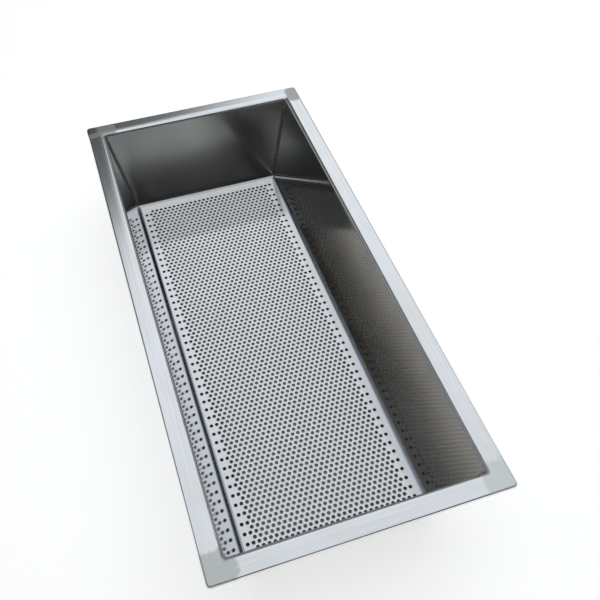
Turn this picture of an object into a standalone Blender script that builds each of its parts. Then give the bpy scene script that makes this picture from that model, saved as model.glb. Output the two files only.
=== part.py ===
"""Baguette tray: a deep tray of folded and welded stainless sheet.

A flat floor, four plain walls that lean outwards, and a flat flange all round the top,
with its outer edge turned down.
The origin is under the middle of the floor. X is the width, Y is the length, Z is up.
"""
import math

import bmesh
import bpy
from mathutils import Matrix, Vector

# Driving dimensions, in metres
LENGTH = 0.600          # over the rim, along Y
WIDTH = 0.285           # over the rim, along X
DEPTH = 0.115           # from the top of the rim down to the top of the floor
SHEET = 0.0012          # thickness of the steel
FLANGE = 0.0198         # width of the rim's flat top, out to its edge
INSET = 0.0242          # how far a wall leans in between the rim and the floor
TOP_RADIUS = 0.0045     # fold from the rim down to the wall, on the face that shows
FLOOR_RADIUS = 0.004    # fold from the wall to the floor, on the face that shows
LIP_RADIUS = 0.002      # turned-down outer edge of the rim, on the face that shows
LIP = 0.0035            # drop of the turned-down edge below the rim's top
RIM_CORNER = 0.004      # round of the rim's outer corners
RIM_FILLET = 0.004      # weld fillet of the rim's inner corners, in plan
SEAM_FILLET = 0.001     # weld fillet of the wall corners, in plan
RIM_WELD = 0.005        # reach of a rim weld along each flange
SEAM = 0.0025           # reach of a corner seam along each wall
GAP = 0.0003            # clearance that keeps neighbouring solids apart
FOLD_STEPS = 6          # facets in a fold
LIP_STEPS = 3           # facets in the turned-down edge
CORNER_STEPS = 4        # facets in a rounded rim corner
OVERRUN = 0.010         # extra length that the mitre cuts take off

# Worked out from the dimensions above
TOP = SHEET + DEPTH
LEAN = math.atan2(INSET, DEPTH)
TURN = math.pi / 2 - LEAN
TOP_TANGENT = TOP_RADIUS * math.tan(TURN / 2)
FLOOR_TANGENT = FLOOR_RADIUS * math.tan(TURN / 2)
WALL_DOWN = Vector((math.sin(LEAN), -math.cos(LEAN)))
RIM_FOOT = Vector((FLANGE, TOP))
WALL_FOOT = Vector((FLANGE + INSET, SHEET))
FLOOR_EDGE = FLANGE + INSET + FLOOR_TANGENT
MITRE_GAP = GAP * math.sqrt(2)
SIDES = {"right": (0, WIDTH, LENGTH), "far": (90, LENGTH, WIDTH),
         "left": (180, WIDTH, LENGTH), "near": (270, LENGTH, WIDTH)}
CORNERS = {"far_left": (-1, 1), "far_right": (1, 1), "near_left": (-1, -1), "near_right": (1, -1)}

# Colour and roughness of each kind of surface
FINISHES = {
    "rim": ((0.74, 0.77, 0.79), 0.34),
    "wall": ((0.50, 0.49, 0.46), 0.14),
    "bend": ((0.30, 0.31, 0.32), 0.22),
    "floor": ((0.76, 0.77, 0.79), 0.36),
    "rim_weld": ((0.60, 0.62, 0.62), 0.55),
    "seam": ((0.42, 0.41, 0.40), 0.30),
}


def clear_scene():
    """Remove every object, so that the script can be run again."""
    for item in list(bpy.data.objects):
        bpy.data.objects.remove(item, do_unlink=True)


def steel(name, finish):
    """A stainless steel material in one of the tray's finishes."""
    color, roughness = FINISHES[finish]
    material = bpy.data.materials.new(name)
    material.use_nodes = True
    shader = material.node_tree.nodes["Principled BSDF"]
    shader.inputs["Base Color"].default_value = (*color, 1)
    shader.inputs["Metallic"].default_value = 1
    shader.inputs["Roughness"].default_value = roughness
    return material


def add_part(name, bm, collection, finish):
    """Turn a bmesh into a named part with its own material."""
    bmesh.ops.recalc_face_normals(bm, faces=bm.faces)
    mesh = bpy.data.meshes.new(name)
    bm.to_mesh(mesh)
    bm.free()
    mesh.materials.append(steel(name, finish))
    part = bpy.data.objects.new(name, mesh)
    collection.objects.link(part)
    return part


# Section through one side of the tray. A point is (inward, up): how far in from the rim's
# outer edge, and how high. A skin is a list of points on the face that shows, each with its
# normal, and the sheet's other face lies one thickness behind it.

def normal(angle):
    return Vector((math.cos(angle), math.sin(angle)))


def rim_lip():
    """The rim's outer edge, from the lip's foot round to the flange."""
    centre = Vector((LIP_RADIUS, TOP - LIP_RADIUS))
    angles = [math.pi - math.pi / 2 * step / LIP_STEPS for step in range(LIP_STEPS + 1)]
    foot = (Vector((0, TOP - LIP)), normal(math.pi))
    return [foot] + [(centre + LIP_RADIUS * normal(angle), normal(angle)) for angle in angles]


def rim_fold():
    """The fold at the top, from the flange round to the wall."""
    centre = RIM_FOOT - Vector((TOP_TANGENT, TOP_RADIUS))
    angles = [math.pi / 2 - TURN * step / FOLD_STEPS for step in range(FOLD_STEPS + 1)]
    return [(centre + TOP_RADIUS * normal(angle), normal(angle)) for angle in angles]


def floor_fold():
    """The fold at the bottom, from the wall round to the floor."""
    centre = WALL_FOOT + Vector((FLOOR_TANGENT, FLOOR_RADIUS))
    angles = [LEAN + TURN * step / FOLD_STEPS for step in range(FOLD_STEPS + 1)]
    return [(centre - FLOOR_RADIUS * normal(angle), normal(angle)) for angle in angles]


def wall_skin():
    """The straight wall between the folds, short of each by one gap."""
    top = RIM_FOOT + WALL_DOWN * (TOP_TANGENT + GAP)
    foot = WALL_FOOT - WALL_DOWN * (FLOOR_TANGENT + GAP)
    return [(top, normal(LEAN)), (foot, normal(LEAN))]


def behind(skin):
    """The sheet's other face, from the skin's last point back to its first."""
    return [point - SHEET * facing for point, facing in reversed(skin)]


def outline(skin):
    return [point for point, facing in skin] + behind(skin)


def cut_mitre(bm, half_width, half_length, end):
    """Cut one end of a side at 45 degrees, and close it with a flat face."""
    corner = Vector((half_width, end * half_length, 0))
    geometry = bm.verts[:] + bm.edges[:] + bm.faces[:]
    bmesh.ops.bisect_plane(bm, geom=geometry, dist=0.000001, plane_co=corner,
                           plane_no=Vector((-1, end, 0)), clear_outer=True)
    rim = [edge for edge in bm.edges if edge.is_boundary]
    bmesh.ops.edgeloop_fill(bm, edges=rim)


def side_part(name, side, section, reach, finish, collection):
    """Extrude a section along one side of the tray and mitre both ends short of the welds."""
    angle, across, along = SIDES[side]
    half_width = across / 2
    half_length = along / 2
    bm = bmesh.new()
    start = -half_length - OVERRUN
    corners = [bm.verts.new((half_width - point.x, start, point.y)) for point in section]
    face = bm.faces.new(corners)
    grown = bmesh.ops.extrude_face_region(bm, geom=[face])
    moved = [item for item in grown["geom"] if isinstance(item, bmesh.types.BMVert)]
    bmesh.ops.translate(bm, verts=moved, vec=(0, 2 * (half_length + OVERRUN), 0))
    for end in (-1, 1):
        cut_mitre(bm, half_width, half_length - reach - MITRE_GAP, end)
    part = add_part(name, bm, collection, finish)
    part.rotation_euler.z = math.radians(angle)
    return part


def corner_round(point):
    """Radius of the corner in plan, for one section point: outer corner, rim fillet or seam."""
    if point.x < RIM_CORNER:
        return RIM_CORNER - point.x
    share = min(max((point.x - FLANGE / 2) / (FLANGE / 2), 0), 1)
    drop = min((TOP - point.y) / TOP_TANGENT, 1)
    return share * (RIM_FILLET + (SEAM_FILLET - RIM_FILLET) * drop)


def corner_path(point, reach):
    """The path of one section point round the far right corner, with the corner rounded."""
    right = WIDTH / 2 - point.x
    far = LENGTH / 2 - point.x
    round_off = corner_round(point)
    path = [Vector((right, far - reach, point.y))]
    for step in range(CORNER_STEPS + 1):
        angle = math.pi / 2 * step / CORNER_STEPS
        path.append(Vector((right - round_off * (1 - math.cos(angle)),
                            far - round_off * (1 - math.sin(angle)), point.y)))
    path.append(Vector((right - reach, far, point.y)))
    return path


def corner_part(name, corner, section, reach, finish, collection):
    """Sweep a section round one corner of the tray, from one side to the next."""
    bm = bmesh.new()
    paths = [corner_path(point, reach) for point in section]
    rings = [[bm.verts.new(path[step]) for path in paths] for step in range(CORNER_STEPS + 3)]
    bm.faces.new(rings[0])
    bm.faces.new(rings[-1])
    count = len(section)
    for here, there in zip(rings, rings[1:]):
        for first in range(count):
            second = (first + 1) % count
            bm.faces.new((here[first], here[second], there[second], there[first]))
    bmesh.ops.remove_doubles(bm, verts=bm.verts, dist=0.000001)
    side, end = CORNERS[corner]
    bmesh.ops.transform(bm, matrix=Matrix.Diagonal((side, end, 1, 1)), verts=bm.verts)
    return add_part(name, bm, collection, finish)


def floor_plate(collection):
    """The flat bottom sheet, inside the four floor folds."""
    edge = FLOOR_EDGE + GAP
    size = Vector((WIDTH - 2 * edge, LENGTH - 2 * edge, SHEET))
    bm = bmesh.new()
    bmesh.ops.create_cube(bm, size=1)
    bmesh.ops.scale(bm, vec=size, verts=bm.verts)
    plate = add_part("floor_plate", bm, collection, "floor")
    plate.location.z = SHEET / 2
    return plate


def build():
    clear_scene()
    collection = bpy.data.collections.new("baguette_tray")
    bpy.context.scene.collection.children.link(collection)
    tray = bpy.data.objects.new("baguette_tray_frame", None)
    collection.objects.link(tray)

    parts = [floor_plate(collection)]
    rim = rim_lip() + rim_fold()
    wall = wall_skin()
    fold = floor_fold()
    for side in SIDES:
        parts.append(side_part(f"rim_{side}", side, outline(rim), RIM_WELD, "rim", collection))
        parts.append(side_part(f"wall_{side}", side, outline(wall), SEAM, "wall", collection))
        parts.append(side_part(f"floor_bend_{side}", side, outline(fold), SEAM, "bend", collection))
    for corner in CORNERS:
        parts.append(corner_part(f"rim_weld_{corner}", corner, outline(rim), RIM_WELD,
                                 "rim_weld", collection))
        parts.append(corner_part(f"corner_seam_{corner}", corner, outline(wall + fold), SEAM,
                                 "seam", collection))
    for part in parts:
        part.parent = tray


build()
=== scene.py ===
"""Looks of the baguette tray: perforated floor, polished walls, brushed rim and ground welds."""

import math

import bmesh
import bpy
from mathutils import Matrix, Vector


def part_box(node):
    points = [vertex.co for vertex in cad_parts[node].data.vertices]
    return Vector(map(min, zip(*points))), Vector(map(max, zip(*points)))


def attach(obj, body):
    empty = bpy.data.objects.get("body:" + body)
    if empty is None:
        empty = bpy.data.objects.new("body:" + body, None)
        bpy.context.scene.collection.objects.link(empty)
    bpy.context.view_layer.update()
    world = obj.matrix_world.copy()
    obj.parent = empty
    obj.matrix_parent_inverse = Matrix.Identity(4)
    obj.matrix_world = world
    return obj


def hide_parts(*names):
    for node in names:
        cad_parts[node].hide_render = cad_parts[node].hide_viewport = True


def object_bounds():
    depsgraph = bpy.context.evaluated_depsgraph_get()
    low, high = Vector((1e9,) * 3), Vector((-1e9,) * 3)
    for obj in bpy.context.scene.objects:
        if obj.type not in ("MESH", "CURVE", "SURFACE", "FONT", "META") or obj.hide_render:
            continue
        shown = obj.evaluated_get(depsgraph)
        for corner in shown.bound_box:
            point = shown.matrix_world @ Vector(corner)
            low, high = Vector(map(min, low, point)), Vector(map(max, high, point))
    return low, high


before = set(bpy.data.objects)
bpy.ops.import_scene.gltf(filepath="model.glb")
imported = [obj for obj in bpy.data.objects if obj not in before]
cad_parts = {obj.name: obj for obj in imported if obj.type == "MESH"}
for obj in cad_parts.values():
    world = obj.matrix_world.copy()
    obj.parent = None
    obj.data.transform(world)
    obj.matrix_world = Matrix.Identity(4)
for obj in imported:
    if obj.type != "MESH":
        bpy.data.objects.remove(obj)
cad_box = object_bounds()

# Sizes read from the frame, in metres
HALF_WIDTH = cad_box[1][0]
HALF_LENGTH = cad_box[1][1]
TOP = cad_box[1][2]
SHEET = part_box("floor_plate")[1][2]

# Sizes that the frame's boxes don't give, the same as in the CAD
FLANGE = 0.0198         # width of the rim's flat top, out to its edge
INSET = 0.0242          # how far a wall leans in between the rim and the floor
TOP_RADIUS = 0.0045     # fold from the rim down to the wall
FLOOR_RADIUS = 0.004    # fold from the wall to the floor
LIP_RADIUS = 0.002      # turned-down outer edge of the rim
LIP = 0.0035            # drop of the turned-down edge below the rim's top
RIM_CORNER = 0.004      # round of the rim's outer corners
RIM_FILLET = 0.004      # weld fillet of the rim's inner corners, in plan
SEAM_FILLET = 0.001     # weld fillet of the wall corners, in plan
RIM_WELD = 0.005        # reach of a rim weld along each flange
SEAM = 0.0025           # reach of a corner seam along each wall
EDGE_ROUND = 0.0003     # rounding of the rim's cut edge, which the CAD leaves sharp

# The holes of the floor, in staggered rows from far to near. A place counts half pitches.
PITCH = 0.00605
HOLE_RADIUS = 0.002
HOLE_SIDES = 12
COLUMNS = 29
ROWS = 93
FIRST_HOLE = (-0.0817, 0.2405)
ODD_START = -3          # place of the first hole in an odd row; an even row starts at 0
SPARE = 4               # plain cells laid past the holes, and trimmed at the floor's edge
ROW_STEP = PITCH * math.sqrt(3) / 2
CELL_REACH = PITCH / math.sqrt(3)
HOLE_REACH = HOLE_RADIUS * math.sqrt(math.pi / (HOLE_SIDES / 2 * math.sin(2 * math.pi / HOLE_SIDES)))

# Fineness of the meshes
FOLD_STEPS = 10
LIP_STEPS = 6
EDGE_STEPS = 4
CORNER_STEPS = 8
FLANGE_STEPS = 6
WALL_STEPS = 14
SIDE_STEPS = 60
HOLD = 0.0002           # strip beside a fold that keeps the flat part flat when shaded smooth
MERGE = 0.000001        # points closer than this are one
SMOOTH_ANGLE = math.radians(40)

# Steel of the rim. The flange's inner part is not quite flat: its slope grows by twice the
# bend for each metre.
RIM_TINTS = ((0.81, 0.84, 0.88), (0.77, 0.80, 0.82))
RIM_STREAK = (0.62, 0.65, 0.69)
RIM_ROUGHNESS = (0.15, 0.21)
RIM_BRUSH = 0.00002
ROLL_START = 0.011
ROLL_BEND = 6.0

# Ground patches of the rim: reach along X, reach along Y, colour, roughness
GROUND = {"far_left": (0.033, 0.018, (0.50, 0.52, 0.52), 0.42),
          "far_right": (0.014, 0.027, (0.60, 0.62, 0.63), 0.40),
          "near_left": (0.026, 0.026, (0.62, 0.65, 0.65), 0.42),
          "near_right": (0.027, 0.027, (0.74, 0.785, 0.80), 0.42)}
GROUND_SOFT = 0.004
GROUND_RAGGED = 0.003
GROUND_SHADE = 0.8

# The burnt tip of the far left corner: reach along X, reach along Y
BURNT_TIP = (0.010, 0.012)
BURNT_RAGGED = 0.002
BURNT_COLOR = (0.16, 0.155, 0.15)
BURNT_SHARE = 0.85

# Steel of each wall: two tints, and the roughness from clear to hazy. The four walls are lit and
# shaded copies of one steel, each wall's tints set for how it shows in reflections: painted light on
# the far wall, whose tints are raised, and painted shade on the near wall, whose tints are lowered.
WALLS_LIT_AND_SHADED = {"left": (((0.72, 0.745, 0.78), (0.69, 0.715, 0.75)), (0.05, 0.06)),
         "right": (((0.74, 0.735, 0.725), (0.71, 0.705, 0.695)), (0.08, 0.10)),
         "far": (((0.92, 0.915, 0.90), (0.89, 0.885, 0.87)), (0.13, 0.17)),
         "near": (((0.60, 0.595, 0.58), (0.56, 0.555, 0.54)), (0.13, 0.17))}
WALL_GRAIN = (90, 90, 5)
WALL_WAVE = 0.00008

# Steel of the floor, the folds and the seams
FLOOR_TINTS = ((0.70, 0.715, 0.745), (0.675, 0.695, 0.725))
FLOOR_ROUGHNESS = (0.085, 0.11)
FLOOR_WAVE = 0.0001
# The folds' tints are far darker than the floor's and the walls': painted shade in the creases of the
# folds, darker and bluer on the long folds than on the cross folds.
FOLD_LONG_SHADE_TINTS = ((0.40, 0.44, 0.52), (0.37, 0.41, 0.48))
FOLD_CROSS_SHADE_TINTS = ((0.50, 0.51, 0.53), (0.46, 0.47, 0.49))
FOLD_ROUGHNESS = (0.13, 0.17)
SEAM_TINTS = ((0.56, 0.54, 0.50), (0.46, 0.45, 0.46))
SEAM_ROUGHNESS = (0.20, 0.28)
SEAM_WAVE = 0.00004
STREAK_SHADE = 0.85
STREAK_HAZE = 0.02

# Stage: the floor of the studio, and a grey board under the holes that is darker at its edge. The
# board is a grey sheet put under the tray to stand in for the shade there, and its darker edge is
# painted shade, where less light comes down through the holes near the field's edge.
GROUND_SIZE = 12
GROUND_LEVEL = -0.0006
GROUND_COLOR = (0.9, 0.9, 0.9)
GROUND_GLOW = 0.6
STAGE_ROUGHNESS = 0.9
BOARD_LEVEL = -0.0003
BOARD_SHADE_EDGE = (0.008, 0.022)
BOARD_SHADE_COLORS = ((0.04, 0.04, 0.04), (0.27, 0.27, 0.27))

# The studio's walls glow near the horizon and are dark above it, by the sine of the elevation.
# The glow reaches higher on all sides but the near one.
HORIZON = (0.05, 0.15)
HORIZON_LIFT = 0.16
HORIZON_NEAR = (-0.65, -0.40)
HORIZON_GLOW = (0.50, 0.50, 0.50)
STUDIO_DARK = (0.016, 0.0145, 0.012)

# The ceiling panel brightens along Y, and its left strip is dim, up to an edge line that runs
# past the tray
PANEL_WIDTH = 4.0
PANEL_LENGTH = 4.5
PANEL_PLACE = (0.527, 0.886, 2.1)
PANEL_TURN = math.radians(-44.8)
PANEL_COLOR = (0.96, 0.985, 1.0)
PANEL_SPAN = (0.2, 3.0)
PANEL_GLOW = (0.82, 1.09)
PANEL_EDGE = -1.485
PANEL_SOFT = 0.12
PANEL_DIM = 0.07

# A strip light at the left of the tray, which fades out towards its top
SIDE_TOP = 2.05
SIDE_HEIGHT = 0.40
SIDE_LENGTH = 5.0
SIDE_PLACE = (-2.0, 1.5, SIDE_TOP - SIDE_HEIGHT / 2)
SIDE_COLOR = (1.0, 0.93, 0.80)
SIDE_FADE = 0.18
SIDE_GLOW = 0.72

CAMERA_PLACE = (-0.15452, -0.4954, 0.7524)
CAMERA_TURN = (39.878, 0.161, -17.861)
CAMERA_LENS = 45.31
CAMERA_SHIFT = (0.059, -0.0597)

# Worked out from the sizes above
DEPTH = TOP - SHEET
LEAN = math.atan2(INSET, DEPTH)
TURN = math.pi / 2 - LEAN
TOP_TANGENT = TOP_RADIUS * math.tan(TURN / 2)
FLOOR_TANGENT = FLOOR_RADIUS * math.tan(TURN / 2)
WALL_DOWN = Vector((math.sin(LEAN), -math.cos(LEAN)))
RIM_FOOT = Vector((FLANGE, TOP))
WALL_FOOT = Vector((FLANGE + INSET, SHEET))
FLOOR_EDGE = FLANGE + INSET + FLOOR_TANGENT
FLOOR_HALF = (HALF_WIDTH - FLOOR_EDGE, HALF_LENGTH - FLOOR_EDGE)
SIDES = {"right": (0, HALF_WIDTH, HALF_LENGTH), "far": (90, HALF_LENGTH, HALF_WIDTH),
         "left": (180, HALF_WIDTH, HALF_LENGTH), "near": (270, HALF_LENGTH, HALF_WIDTH)}
CORNERS = {"far_left": (-1, 1), "far_right": (1, 1), "near_left": (-1, -1), "near_right": (1, -1)}


# ---- Section of the sheet ----
# A point is (inward, up): how far in from the rim's outer edge, and how high. A skin is a list
# of points on the face that shows, each with its normal.

def normal(angle):
    return Vector((math.cos(angle), math.sin(angle)))


def rim_lip():
    """The turned-down outer edge of the rim, from just above its cut edge up to the flange."""
    centre = Vector((LIP_RADIUS, TOP - LIP_RADIUS))
    angles = [math.pi - math.pi / 2 * step / LIP_STEPS for step in range(LIP_STEPS + 1)]
    foot = (Vector((0, TOP - LIP + EDGE_ROUND)), normal(math.pi))
    return [foot] + [(centre + LIP_RADIUS * normal(angle), normal(angle)) for angle in angles]


def lip_edge():
    """The rounded cut edge of the lip, from the sheet's other face to the face that shows."""
    points = []
    for step in range(1, EDGE_STEPS):
        turn = normal(-math.pi * step / EDGE_STEPS)
        points.append(Vector((SHEET / 2 * (1 + turn.x), TOP - LIP + EDGE_ROUND * (1 + turn.y))))
    return points


def spread(start, end, facing, steps):
    """Points on a flat stretch between two folds, with a narrow strip kept beside each fold."""
    share = HOLD / (end - start).length
    stops = [share + (1 - 2 * share) * step / steps for step in range(steps + 1)]
    return [(start.lerp(end, stop), facing) for stop in stops]


def flange_skin():
    """The flat top of the rim, between its two folds."""
    start = Vector((LIP_RADIUS, TOP))
    end = Vector((FLANGE - TOP_TANGENT, TOP))
    return spread(start, end, normal(math.pi / 2), FLANGE_STEPS)


def rim_fold():
    """The fold at the top, from the flange round to the wall."""
    centre = RIM_FOOT - Vector((TOP_TANGENT, TOP_RADIUS))
    angles = [math.pi / 2 - TURN * step / FOLD_STEPS for step in range(FOLD_STEPS + 1)]
    return [(centre + TOP_RADIUS * normal(angle), normal(angle)) for angle in angles]


def wall_skin():
    """The straight wall between the folds."""
    top = RIM_FOOT + WALL_DOWN * TOP_TANGENT
    foot = WALL_FOOT - WALL_DOWN * FLOOR_TANGENT
    facing = normal(LEAN)
    return [(top, facing)] + spread(top, foot, facing, WALL_STEPS) + [(foot, facing)]


def floor_fold():
    """The fold at the bottom, from the wall round to the floor."""
    centre = WALL_FOOT + Vector((FLOOR_TANGENT, FLOOR_RADIUS))
    angles = [LEAN + TURN * step / FOLD_STEPS for step in range(FOLD_STEPS + 1)]
    return [(centre - FLOOR_RADIUS * normal(angle), normal(angle)) for angle in angles]


def closed_outline(skin, edge=()):
    """The section's outline: the face that shows, the sheet's other face, and a shaped edge."""
    back = [point - SHEET * facing for point, facing in reversed(skin)]
    return [point for point, facing in skin] + back + list(edge)


# ---- Meshes ----

def finish_mesh(name, bm, material, node_name):
    """Make a piece from a bmesh, and let it stand for a CAD node."""
    bmesh.ops.recalc_face_normals(bm, faces=bm.faces)
    mesh = bpy.data.meshes.new(name)
    bm.to_mesh(mesh)
    bm.free()
    mesh.polygons.foreach_set("use_smooth", [True] * len(mesh.polygons))
    mesh.set_sharp_from_angle(angle=SMOOTH_ANGLE)
    mesh.materials.append(material)
    piece = bpy.data.objects.new(name, mesh)
    bpy.context.scene.collection.objects.link(piece)
    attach(piece, "root")
    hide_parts(node_name)


def loft(rings):
    """Join rings of points, each one closed, and close both ends."""
    bm = bmesh.new()
    rows = [[bm.verts.new(point) for point in ring] for ring in rings]
    bm.faces.new(rows[0])
    bm.faces.new(rows[-1])
    count = len(rows[0])
    for here, there in zip(rows, rows[1:]):
        for first in range(count):
            second = (first + 1) % count
            bm.faces.new((here[first], here[second], there[second], there[first]))
    bmesh.ops.remove_doubles(bm, verts=bm.verts, dist=MERGE)
    return bm


def side_strip(side, outline, reach):
    """A strip of section along one side, its ends mitred short of the weld."""
    angle, half_across, half_along = SIDES[side]
    turn = Matrix.Rotation(math.radians(angle), 4, "Z")
    rings = []
    for step in range(SIDE_STEPS + 1):
        share = 2 * step / SIDE_STEPS - 1
        places = [Vector((half_across - point.x, share * (half_along - point.x - reach), point.y))
                  for point in outline]
        rings.append([turn @ place for place in places])
    return loft(rings)


def corner_round(point):
    """Radius of the corner in plan, for one section point: outer corner, rim fillet or seam."""
    if point.x < RIM_CORNER:
        return RIM_CORNER - point.x
    share = min(max((point.x - FLANGE / 2) / (FLANGE / 2), 0), 1)
    drop = min((TOP - point.y) / TOP_TANGENT, 1)
    return share * (RIM_FILLET + (SEAM_FILLET - RIM_FILLET) * drop)


def corner_path(point, reach):
    """The path of one section point round the far right corner, with the corner rounded."""
    right = HALF_WIDTH - point.x
    far = HALF_LENGTH - point.x
    round_off = corner_round(point)
    path = [Vector((right, far - reach, point.y))]
    for step in range(CORNER_STEPS + 1):
        angle = math.pi / 2 * step / CORNER_STEPS
        path.append(Vector((right - round_off * (1 - math.cos(angle)),
                            far - round_off * (1 - math.sin(angle)), point.y)))
    path.append(Vector((right - reach, far, point.y)))
    return path


def corner_strip(corner, outline, reach):
    """A section swept round one corner."""
    side, end = CORNERS[corner]
    mirror = Matrix.Diagonal((side, end, 1))
    paths = [corner_path(point, reach) for point in outline]
    return loft([[mirror @ path[step] for path in paths] for step in range(CORNER_STEPS + 3)])


def has_hole(place, row):
    """Whether the floor has a hole at a place in a row."""
    first = ODD_START if row % 2 else 0
    return 0 <= row < ROWS and first <= place < first + 2 * COLUMNS


def ring_points(x, y, reach, count):
    """Corners of a regular polygon on top of the floor, the first of them at 30 degrees."""
    angles = [math.radians(30) + 2 * math.pi * step / count for step in range(count)]
    return [(x + reach * math.cos(angle), y + reach * math.sin(angle), SHEET) for angle in angles]


def add_cell(bm, place, row):
    """One hexagon of the floor: plain, or six faces round a hole."""
    x = FIRST_HOLE[0] + place * PITCH / 2
    y = FIRST_HOLE[1] - row * ROW_STEP
    hexagon = [bm.verts.new(point) for point in ring_points(x, y, CELL_REACH, 6)]
    if not has_hole(place, row):
        bm.faces.new(hexagon)
        return
    circle = [bm.verts.new(point) for point in ring_points(x, y, HOLE_REACH, HOLE_SIDES)]
    span = HOLE_SIDES // 6
    for step in range(6):
        arc = [circle[(step * span + offset) % HOLE_SIDES] for offset in range(span, -1, -1)]
        bm.faces.new([hexagon[step], hexagon[(step + 1) % 6]] + arc)


def perforated_sheet():
    """The floor as a honeycomb of cells, trimmed at the folds and given its thickness."""
    bm = bmesh.new()
    for row in range(-SPARE, ROWS + SPARE):
        for place in range(-2 * (SPARE + 2), 2 * (COLUMNS + SPARE)):
            if (place + row) % 2 == 0:
                add_cell(bm, place, row)
    bmesh.ops.remove_doubles(bm, verts=bm.verts, dist=MERGE)
    for facing in ((1, 0, 0), (-1, 0, 0), (0, 1, 0), (0, -1, 0)):
        edge = (facing[0] * FLOOR_HALF[0], facing[1] * FLOOR_HALF[1], 0)
        geometry = bm.verts[:] + bm.edges[:] + bm.faces[:]
        bmesh.ops.bisect_plane(bm, geom=geometry, dist=MERGE, plane_co=edge, plane_no=facing,
                               clear_outer=True)
    grown = bmesh.ops.extrude_face_region(bm, geom=bm.faces[:])
    moved = [item for item in grown["geom"] if isinstance(item, bmesh.types.BMVert)]
    bmesh.ops.translate(bm, verts=moved, vec=(0, 0, -SHEET))
    return bm


# ---- Materials ----

def node(tree, kind, inputs=None, **settings):
    """Add a node. An input is either a socket to link or a value to set."""
    made = tree.nodes.new(kind)
    for key, value in settings.items():
        setattr(made, key, value)
    for key, value in (inputs or {}).items():
        if isinstance(value, bpy.types.NodeSocket):
            tree.links.new(value, made.inputs[key])
        else:
            made.inputs[key].default_value = value
    return made


def calc(tree, operation, first, second=0.0):
    return node(tree, "ShaderNodeMath", {0: first, 1: second}, operation=operation).outputs[0]


def blend(tree, share, first, second):
    """Mix two colours. A colour is a socket or three numbers."""
    first, second = [value if isinstance(value, bpy.types.NodeSocket) else (*value, 1)
                     for value in (first, second)]
    return node(tree, "ShaderNodeMix", {0: share, 6: first, 7: second}, data_type="RGBA").outputs[2]


def fade(tree, value, low, high, low_out=0.0, high_out=1.0):
    """Map a value from one range to another, clamped at both ends."""
    inputs = {0: value, 1: low, 2: high, 3: low_out, 4: high_out}
    return node(tree, "ShaderNodeMapRange", inputs).outputs[0]


def axes(tree):
    """The three coordinates of a point in the object's own frame."""
    place = node(tree, "ShaderNodeTexCoord").outputs["Object"]
    return node(tree, "ShaderNodeSeparateXYZ", {0: place}).outputs


def grain(tree, stretch, detail=3.0):
    """Noise in the tray's own coordinates, drawn out along the axes with a small stretch."""
    place = node(tree, "ShaderNodeTexCoord").outputs["Object"]
    scaled = node(tree, "ShaderNodeMapping", {"Vector": place, "Scale": stretch}).outputs[0]
    inputs = {"Vector": scaled, "Scale": 1.0, "Detail": detail}
    return node(tree, "ShaderNodeTexNoise", inputs).outputs[0]


def metal(name):
    """A new metallic material, with its node tree and shader."""
    material = bpy.data.materials.new(name)
    material.use_nodes = True
    tree = material.node_tree
    shader = tree.nodes["Principled BSDF"]
    shader.inputs["Metallic"].default_value = 1
    return material, tree, shader


def dress(tree, shader, color, roughness, height):
    """Link colour, roughness and a bump whose height is in metres."""
    tree.links.new(color, shader.inputs["Base Color"])
    tree.links.new(roughness, shader.inputs["Roughness"])
    bump = node(tree, "ShaderNodeBump", {"Height": height, "Distance": 1.0, "Strength": 1.0})
    tree.links.new(bump.outputs[0], shader.inputs["Normal"])


def corner_mask(tree, corner, reach_x, reach_y, ragged):
    """1 on the part of the rim within reach of a corner, with a soft and ragged edge."""
    side, end = CORNERS[corner]
    place = axes(tree)
    inset_x = calc(tree, "SUBTRACT", HALF_WIDTH, calc(tree, "MULTIPLY", place[0], side))
    inset_y = calc(tree, "SUBTRACT", HALF_LENGTH, calc(tree, "MULTIPLY", place[1], end))
    shift = fade(tree, grain(tree, (90, 90, 90), detail=2.0), 0.3, 0.7, -ragged, ragged)
    share_x = fade(tree, calc(tree, "ADD", inset_x, shift), reach_x + GROUND_SOFT, reach_x)
    share_y = fade(tree, calc(tree, "ADD", inset_y, shift), reach_y + GROUND_SOFT, reach_y)
    return calc(tree, "MULTIPLY", share_x, share_y)


def roll_off(tree):
    """How far the flange's inner part sags below flat as it rolls towards its fold."""
    place = axes(tree)
    inset_x = calc(tree, "SUBTRACT", HALF_WIDTH, calc(tree, "ABSOLUTE", place[0]))
    inset_y = calc(tree, "SUBTRACT", HALF_LENGTH, calc(tree, "ABSOLUTE", place[1]))
    reach = calc(tree, "SUBTRACT", calc(tree, "MINIMUM", inset_x, inset_y), ROLL_START)
    reach = calc(tree, "MAXIMUM", reach, 0.0)
    return calc(tree, "MULTIPLY", calc(tree, "MULTIPLY", reach, reach), ROLL_BEND)


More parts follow.
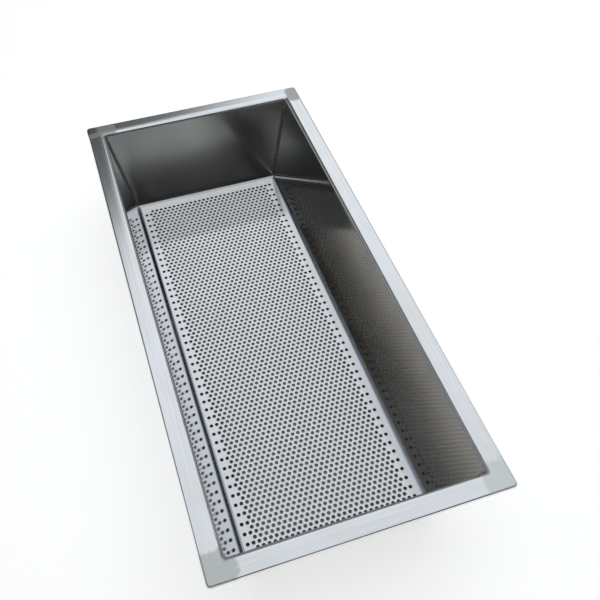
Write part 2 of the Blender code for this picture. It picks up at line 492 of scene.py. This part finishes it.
def rim_metal(name, stretch):
    """Bright brushed flange, its corners ground matt where the mitres were welded."""
    material, tree, shader = metal(name)
    fine = grain(tree, stretch)
    blotch = grain(tree, (25, 25, 25), detail=2.0)
    color = blend(tree, fade(tree, blotch, 0.35, 0.65), *RIM_TINTS)
    color = blend(tree, fade(tree, fine, 0.35, 0.75, 0.0, 0.35), color, RIM_STREAK)
    roughness = fade(tree, fine, 0.3, 0.7, *RIM_ROUGHNESS)
    swirl = grain(tree, (420, 420, 420), detail=4.0)
    patched = 0.0
    for corner, (reach_x, reach_y, matt_color, matt) in GROUND.items():
        mask = corner_mask(tree, corner, reach_x, reach_y, GROUND_RAGGED)
        shaded = [value * GROUND_SHADE for value in matt_color]
        dull = blend(tree, fade(tree, swirl, 0.35, 0.65, 0.0, 0.3), matt_color, shaded)
        color = blend(tree, mask, color, dull)
        rest = calc(tree, "SUBTRACT", 1.0, mask)
        roughness = calc(tree, "ADD", calc(tree, "MULTIPLY", roughness, rest),
                         calc(tree, "MULTIPLY", mask, matt))
        patched = calc(tree, "MAXIMUM", patched, mask)
    tip = corner_mask(tree, "far_left", *BURNT_TIP, BURNT_RAGGED)
    streak = grain(tree, (60, 260, 60), detail=1.0)
    burnt = calc(tree, "MULTIPLY", tip, fade(tree, streak, 0.62, 0.50))
    color = blend(tree, calc(tree, "MULTIPLY", burnt, BURNT_SHARE), color, BURNT_COLOR)
    height = calc(tree, "MULTIPLY", blend(tree, patched, fine, swirl), RIM_BRUSH)
    height = calc(tree, "SUBTRACT", height, roll_off(tree))
    dress(tree, shader, color, roughness, height)
    return material


def sheet_metal(name, tints, haze, stretch, wave_depth):
    """Plain sheet: two close tints in soft blotches, faint streaks and a slight waviness."""
    material, tree, shader = metal(name)
    blotch = grain(tree, (18, 18, 18))
    streaks = grain(tree, stretch)
    color = blend(tree, fade(tree, blotch, 0.35, 0.65), *tints)
    shaded = [value * STREAK_SHADE for value in tints[0]]
    color = blend(tree, fade(tree, streaks, 0.5, 0.8, 0.0, 0.25), color, shaded)
    roughness = calc(tree, "ADD", fade(tree, blotch, 0.3, 0.7, *haze),
                     fade(tree, streaks, 0.5, 0.8, 0.0, STREAK_HAZE))
    height = calc(tree, "MULTIPLY", grain(tree, (14, 14, 14), detail=0.0), wave_depth)
    dress(tree, shader, color, roughness, height)
    return material


def stage_material(name, color):
    """A matt material for the stage, with its node tree and shader."""
    material = bpy.data.materials.new(name)
    material.use_nodes = True
    shader = material.node_tree.nodes["Principled BSDF"]
    shader.inputs["Base Color"].default_value = (*color, 1)
    shader.inputs["Roughness"].default_value = STAGE_ROUGHNESS
    return material, material.node_tree, shader


# ---- The tray ----

def build_tray():
    """The 21 pieces, one for each CAD node."""
    rim_long = rim_metal("rim_steel_long", (700, 9, 700))
    rim_cross = rim_metal("rim_steel_cross", (9, 700, 700))
    rim_ground = rim_metal("rim_weld_steel", (300, 300, 300))
    # The fold materials carry painted shade in their dark tints
    fold_long = sheet_metal("fold_steel_long_painted_shade", FOLD_LONG_SHADE_TINTS, FOLD_ROUGHNESS, (500, 6, 500), 0.0)
    fold_cross = sheet_metal("fold_steel_cross_painted_shade", FOLD_CROSS_SHADE_TINTS, FOLD_ROUGHNESS, (6, 500, 500), 0.0)
    floor_steel = sheet_metal("floor_steel", FLOOR_TINTS, FLOOR_ROUGHNESS, (240, 5, 240), FLOOR_WAVE)
    seam_steel = sheet_metal("seam_steel", SEAM_TINTS, SEAM_ROUGHNESS, (60, 60, 220), SEAM_WAVE)
    # Each wall's own tints carry painted light on the far wall and painted shade on the near wall
    wall_steel = {side: sheet_metal(f"wall_steel_{side}", tints, haze, WALL_GRAIN, WALL_WAVE)
                  for side, (tints, haze) in WALLS_LIT_AND_SHADED.items()}

    rim_outline = closed_outline(rim_lip() + flange_skin() + rim_fold(), lip_edge())
    wall_outline = closed_outline(wall_skin())
    fold_outline = closed_outline(floor_fold())
    seam_outline = closed_outline(wall_skin() + floor_fold()[1:])

    finish_mesh("floor_sheet", perforated_sheet(), floor_steel, "floor_plate")
    for side in SIDES:
        is_long = side in ("left", "right")
        finish_mesh(f"rim_{side}_sheet", side_strip(side, rim_outline, RIM_WELD),
                    rim_long if is_long else rim_cross, f"rim_{side}")
        finish_mesh(f"wall_{side}_sheet", side_strip(side, wall_outline, SEAM),
                    wall_steel[side], f"wall_{side}")
        finish_mesh(f"floor_bend_{side}_sheet", side_strip(side, fold_outline, SEAM),
                    fold_long if is_long else fold_cross, f"floor_bend_{side}")
    for corner in CORNERS:
        finish_mesh(f"rim_weld_{corner}_bead", corner_strip(corner, rim_outline, RIM_WELD),
                    rim_ground, f"rim_weld_{corner}")
        finish_mesh(f"corner_seam_{corner}_bead", corner_strip(corner, seam_outline, SEAM),
                    seam_steel, f"corner_seam_{corner}")


# ---- Stage, lights and camera ----

def add_ground():
    """The plain pale floor, which glows a little so that it stays white."""
    bpy.ops.mesh.primitive_plane_add(size=GROUND_SIZE, location=(0, 0, GROUND_LEVEL))
    ground = bpy.context.object
    ground.name = "ground"
    material, tree, shader = stage_material("pale_floor", GROUND_COLOR)
    shader.inputs["Emission Color"].default_value = (1, 1, 1, 1)
    shader.inputs["Emission Strength"].default_value = GROUND_GLOW
    ground.data.materials.append(material)


def add_shade_board():
    """The grey board under the holes, standing in for the shade under the tray, with painted shade
    darkening it towards its edge.
    """
    bpy.ops.mesh.primitive_plane_add(size=1, location=(0, 0, BOARD_LEVEL))
    board = bpy.context.object
    board.name = "shade_board"
    board.scale = (2 * FLOOR_HALF[0], 2 * FLOOR_HALF[1], 1)
    material, tree, shader = stage_material("shade_board", BOARD_SHADE_COLORS[1])
    place = axes(tree)
    # Painted shade: the board darkens towards the edge of the holes' field
    share = 1.0
    for axis, half in enumerate(FLOOR_HALF):
        inset = calc(tree, "SUBTRACT", 0.5, calc(tree, "ABSOLUTE", place[axis]))
        inset = calc(tree, "MULTIPLY", inset, 2 * half)
        share = calc(tree, "MULTIPLY", share, fade(tree, inset, *BOARD_SHADE_EDGE))
    tree.links.new(blend(tree, share, *BOARD_SHADE_COLORS), shader.inputs["Base Color"])
    board.data.materials.append(material)


def add_studio():
    """The studio's walls, as a world that glows near the horizon."""
    world = bpy.data.worlds.new("studio")
    bpy.context.scene.world = world
    world.use_nodes = True
    tree = world.node_tree
    direction = node(tree, "ShaderNodeTexCoord").outputs["Generated"]
    split = node(tree, "ShaderNodeSeparateXYZ", {0: direction})
    lift = fade(tree, split.outputs[1], *HORIZON_NEAR, 0.0, HORIZON_LIFT)
    above = fade(tree, calc(tree, "SUBTRACT", split.outputs[2], lift), *HORIZON)
    sky = blend(tree, above, HORIZON_GLOW, STUDIO_DARK)
    tree.links.new(sky, tree.nodes["Background"].inputs["Color"])


def area_light(name, width, length, color, place, turn):
    """Add a rectangular light, and return its node tree and a point's place on it."""
    light = bpy.data.lights.new(name, "AREA")
    light.shape = "RECTANGLE"
    light.size = width
    light.size_y = length
    light.energy = math.pi * width * length
    light.color = color
    light.use_nodes = True
    lamp = bpy.data.objects.new(name, light)
    bpy.context.scene.collection.objects.link(lamp)
    lamp.location = place
    lamp.rotation_euler = turn
    return light.node_tree, node(light.node_tree, "ShaderNodeNewGeometry").outputs["Position"]


def add_ceiling_panel():
    tree, spot = area_light("ceiling_panel", PANEL_WIDTH, PANEL_LENGTH, PANEL_COLOR, PANEL_PLACE,
                            (0, 0, PANEL_TURN))
    ahead = node(tree, "ShaderNodeSeparateXYZ", {0: spot}).outputs[1]
    glow = fade(tree, ahead, *PANEL_SPAN, *PANEL_GLOW)
    sideways = Vector((math.cos(PANEL_TURN), math.sin(PANEL_TURN), 0))
    aside = node(tree, "ShaderNodeVectorMath", {0: spot, 1: sideways}, operation="DOT_PRODUCT")
    edge = fade(tree, aside.outputs["Value"], PANEL_EDGE - PANEL_SOFT, PANEL_EDGE + PANEL_SOFT,
                PANEL_DIM, 1.0)
    strength = calc(tree, "MULTIPLY", glow, edge)
    tree.links.new(strength, tree.nodes["Emission"].inputs["Strength"])


def add_side_panel():
    tree, spot = area_light("side_panel", SIDE_HEIGHT, SIDE_LENGTH, SIDE_COLOR, SIDE_PLACE,
                            (0, math.radians(-90), 0))
    height = node(tree, "ShaderNodeSeparateXYZ", {0: spot}).outputs[2]
    glow = fade(tree, height, SIDE_TOP - SIDE_FADE, SIDE_TOP, SIDE_GLOW, 0.0)
    tree.links.new(glow, tree.nodes["Emission"].inputs["Strength"])


def add_camera():
    camera_data = bpy.data.cameras.new("camera")
    camera = bpy.data.objects.new("camera", camera_data)
    bpy.context.scene.collection.objects.link(camera)
    camera.location = CAMERA_PLACE
    camera.rotation_euler = [math.radians(value) for value in CAMERA_TURN]
    camera_data.lens = CAMERA_LENS
    camera_data.shift_x, camera_data.shift_y = CAMERA_SHIFT
    bpy.context.scene.camera = camera


build_tray()
add_ground()
add_shade_board()
add_studio()
add_ceiling_panel()
add_side_panel()
add_camera()
bpy.context.scene.view_settings.view_transform = "Standard"
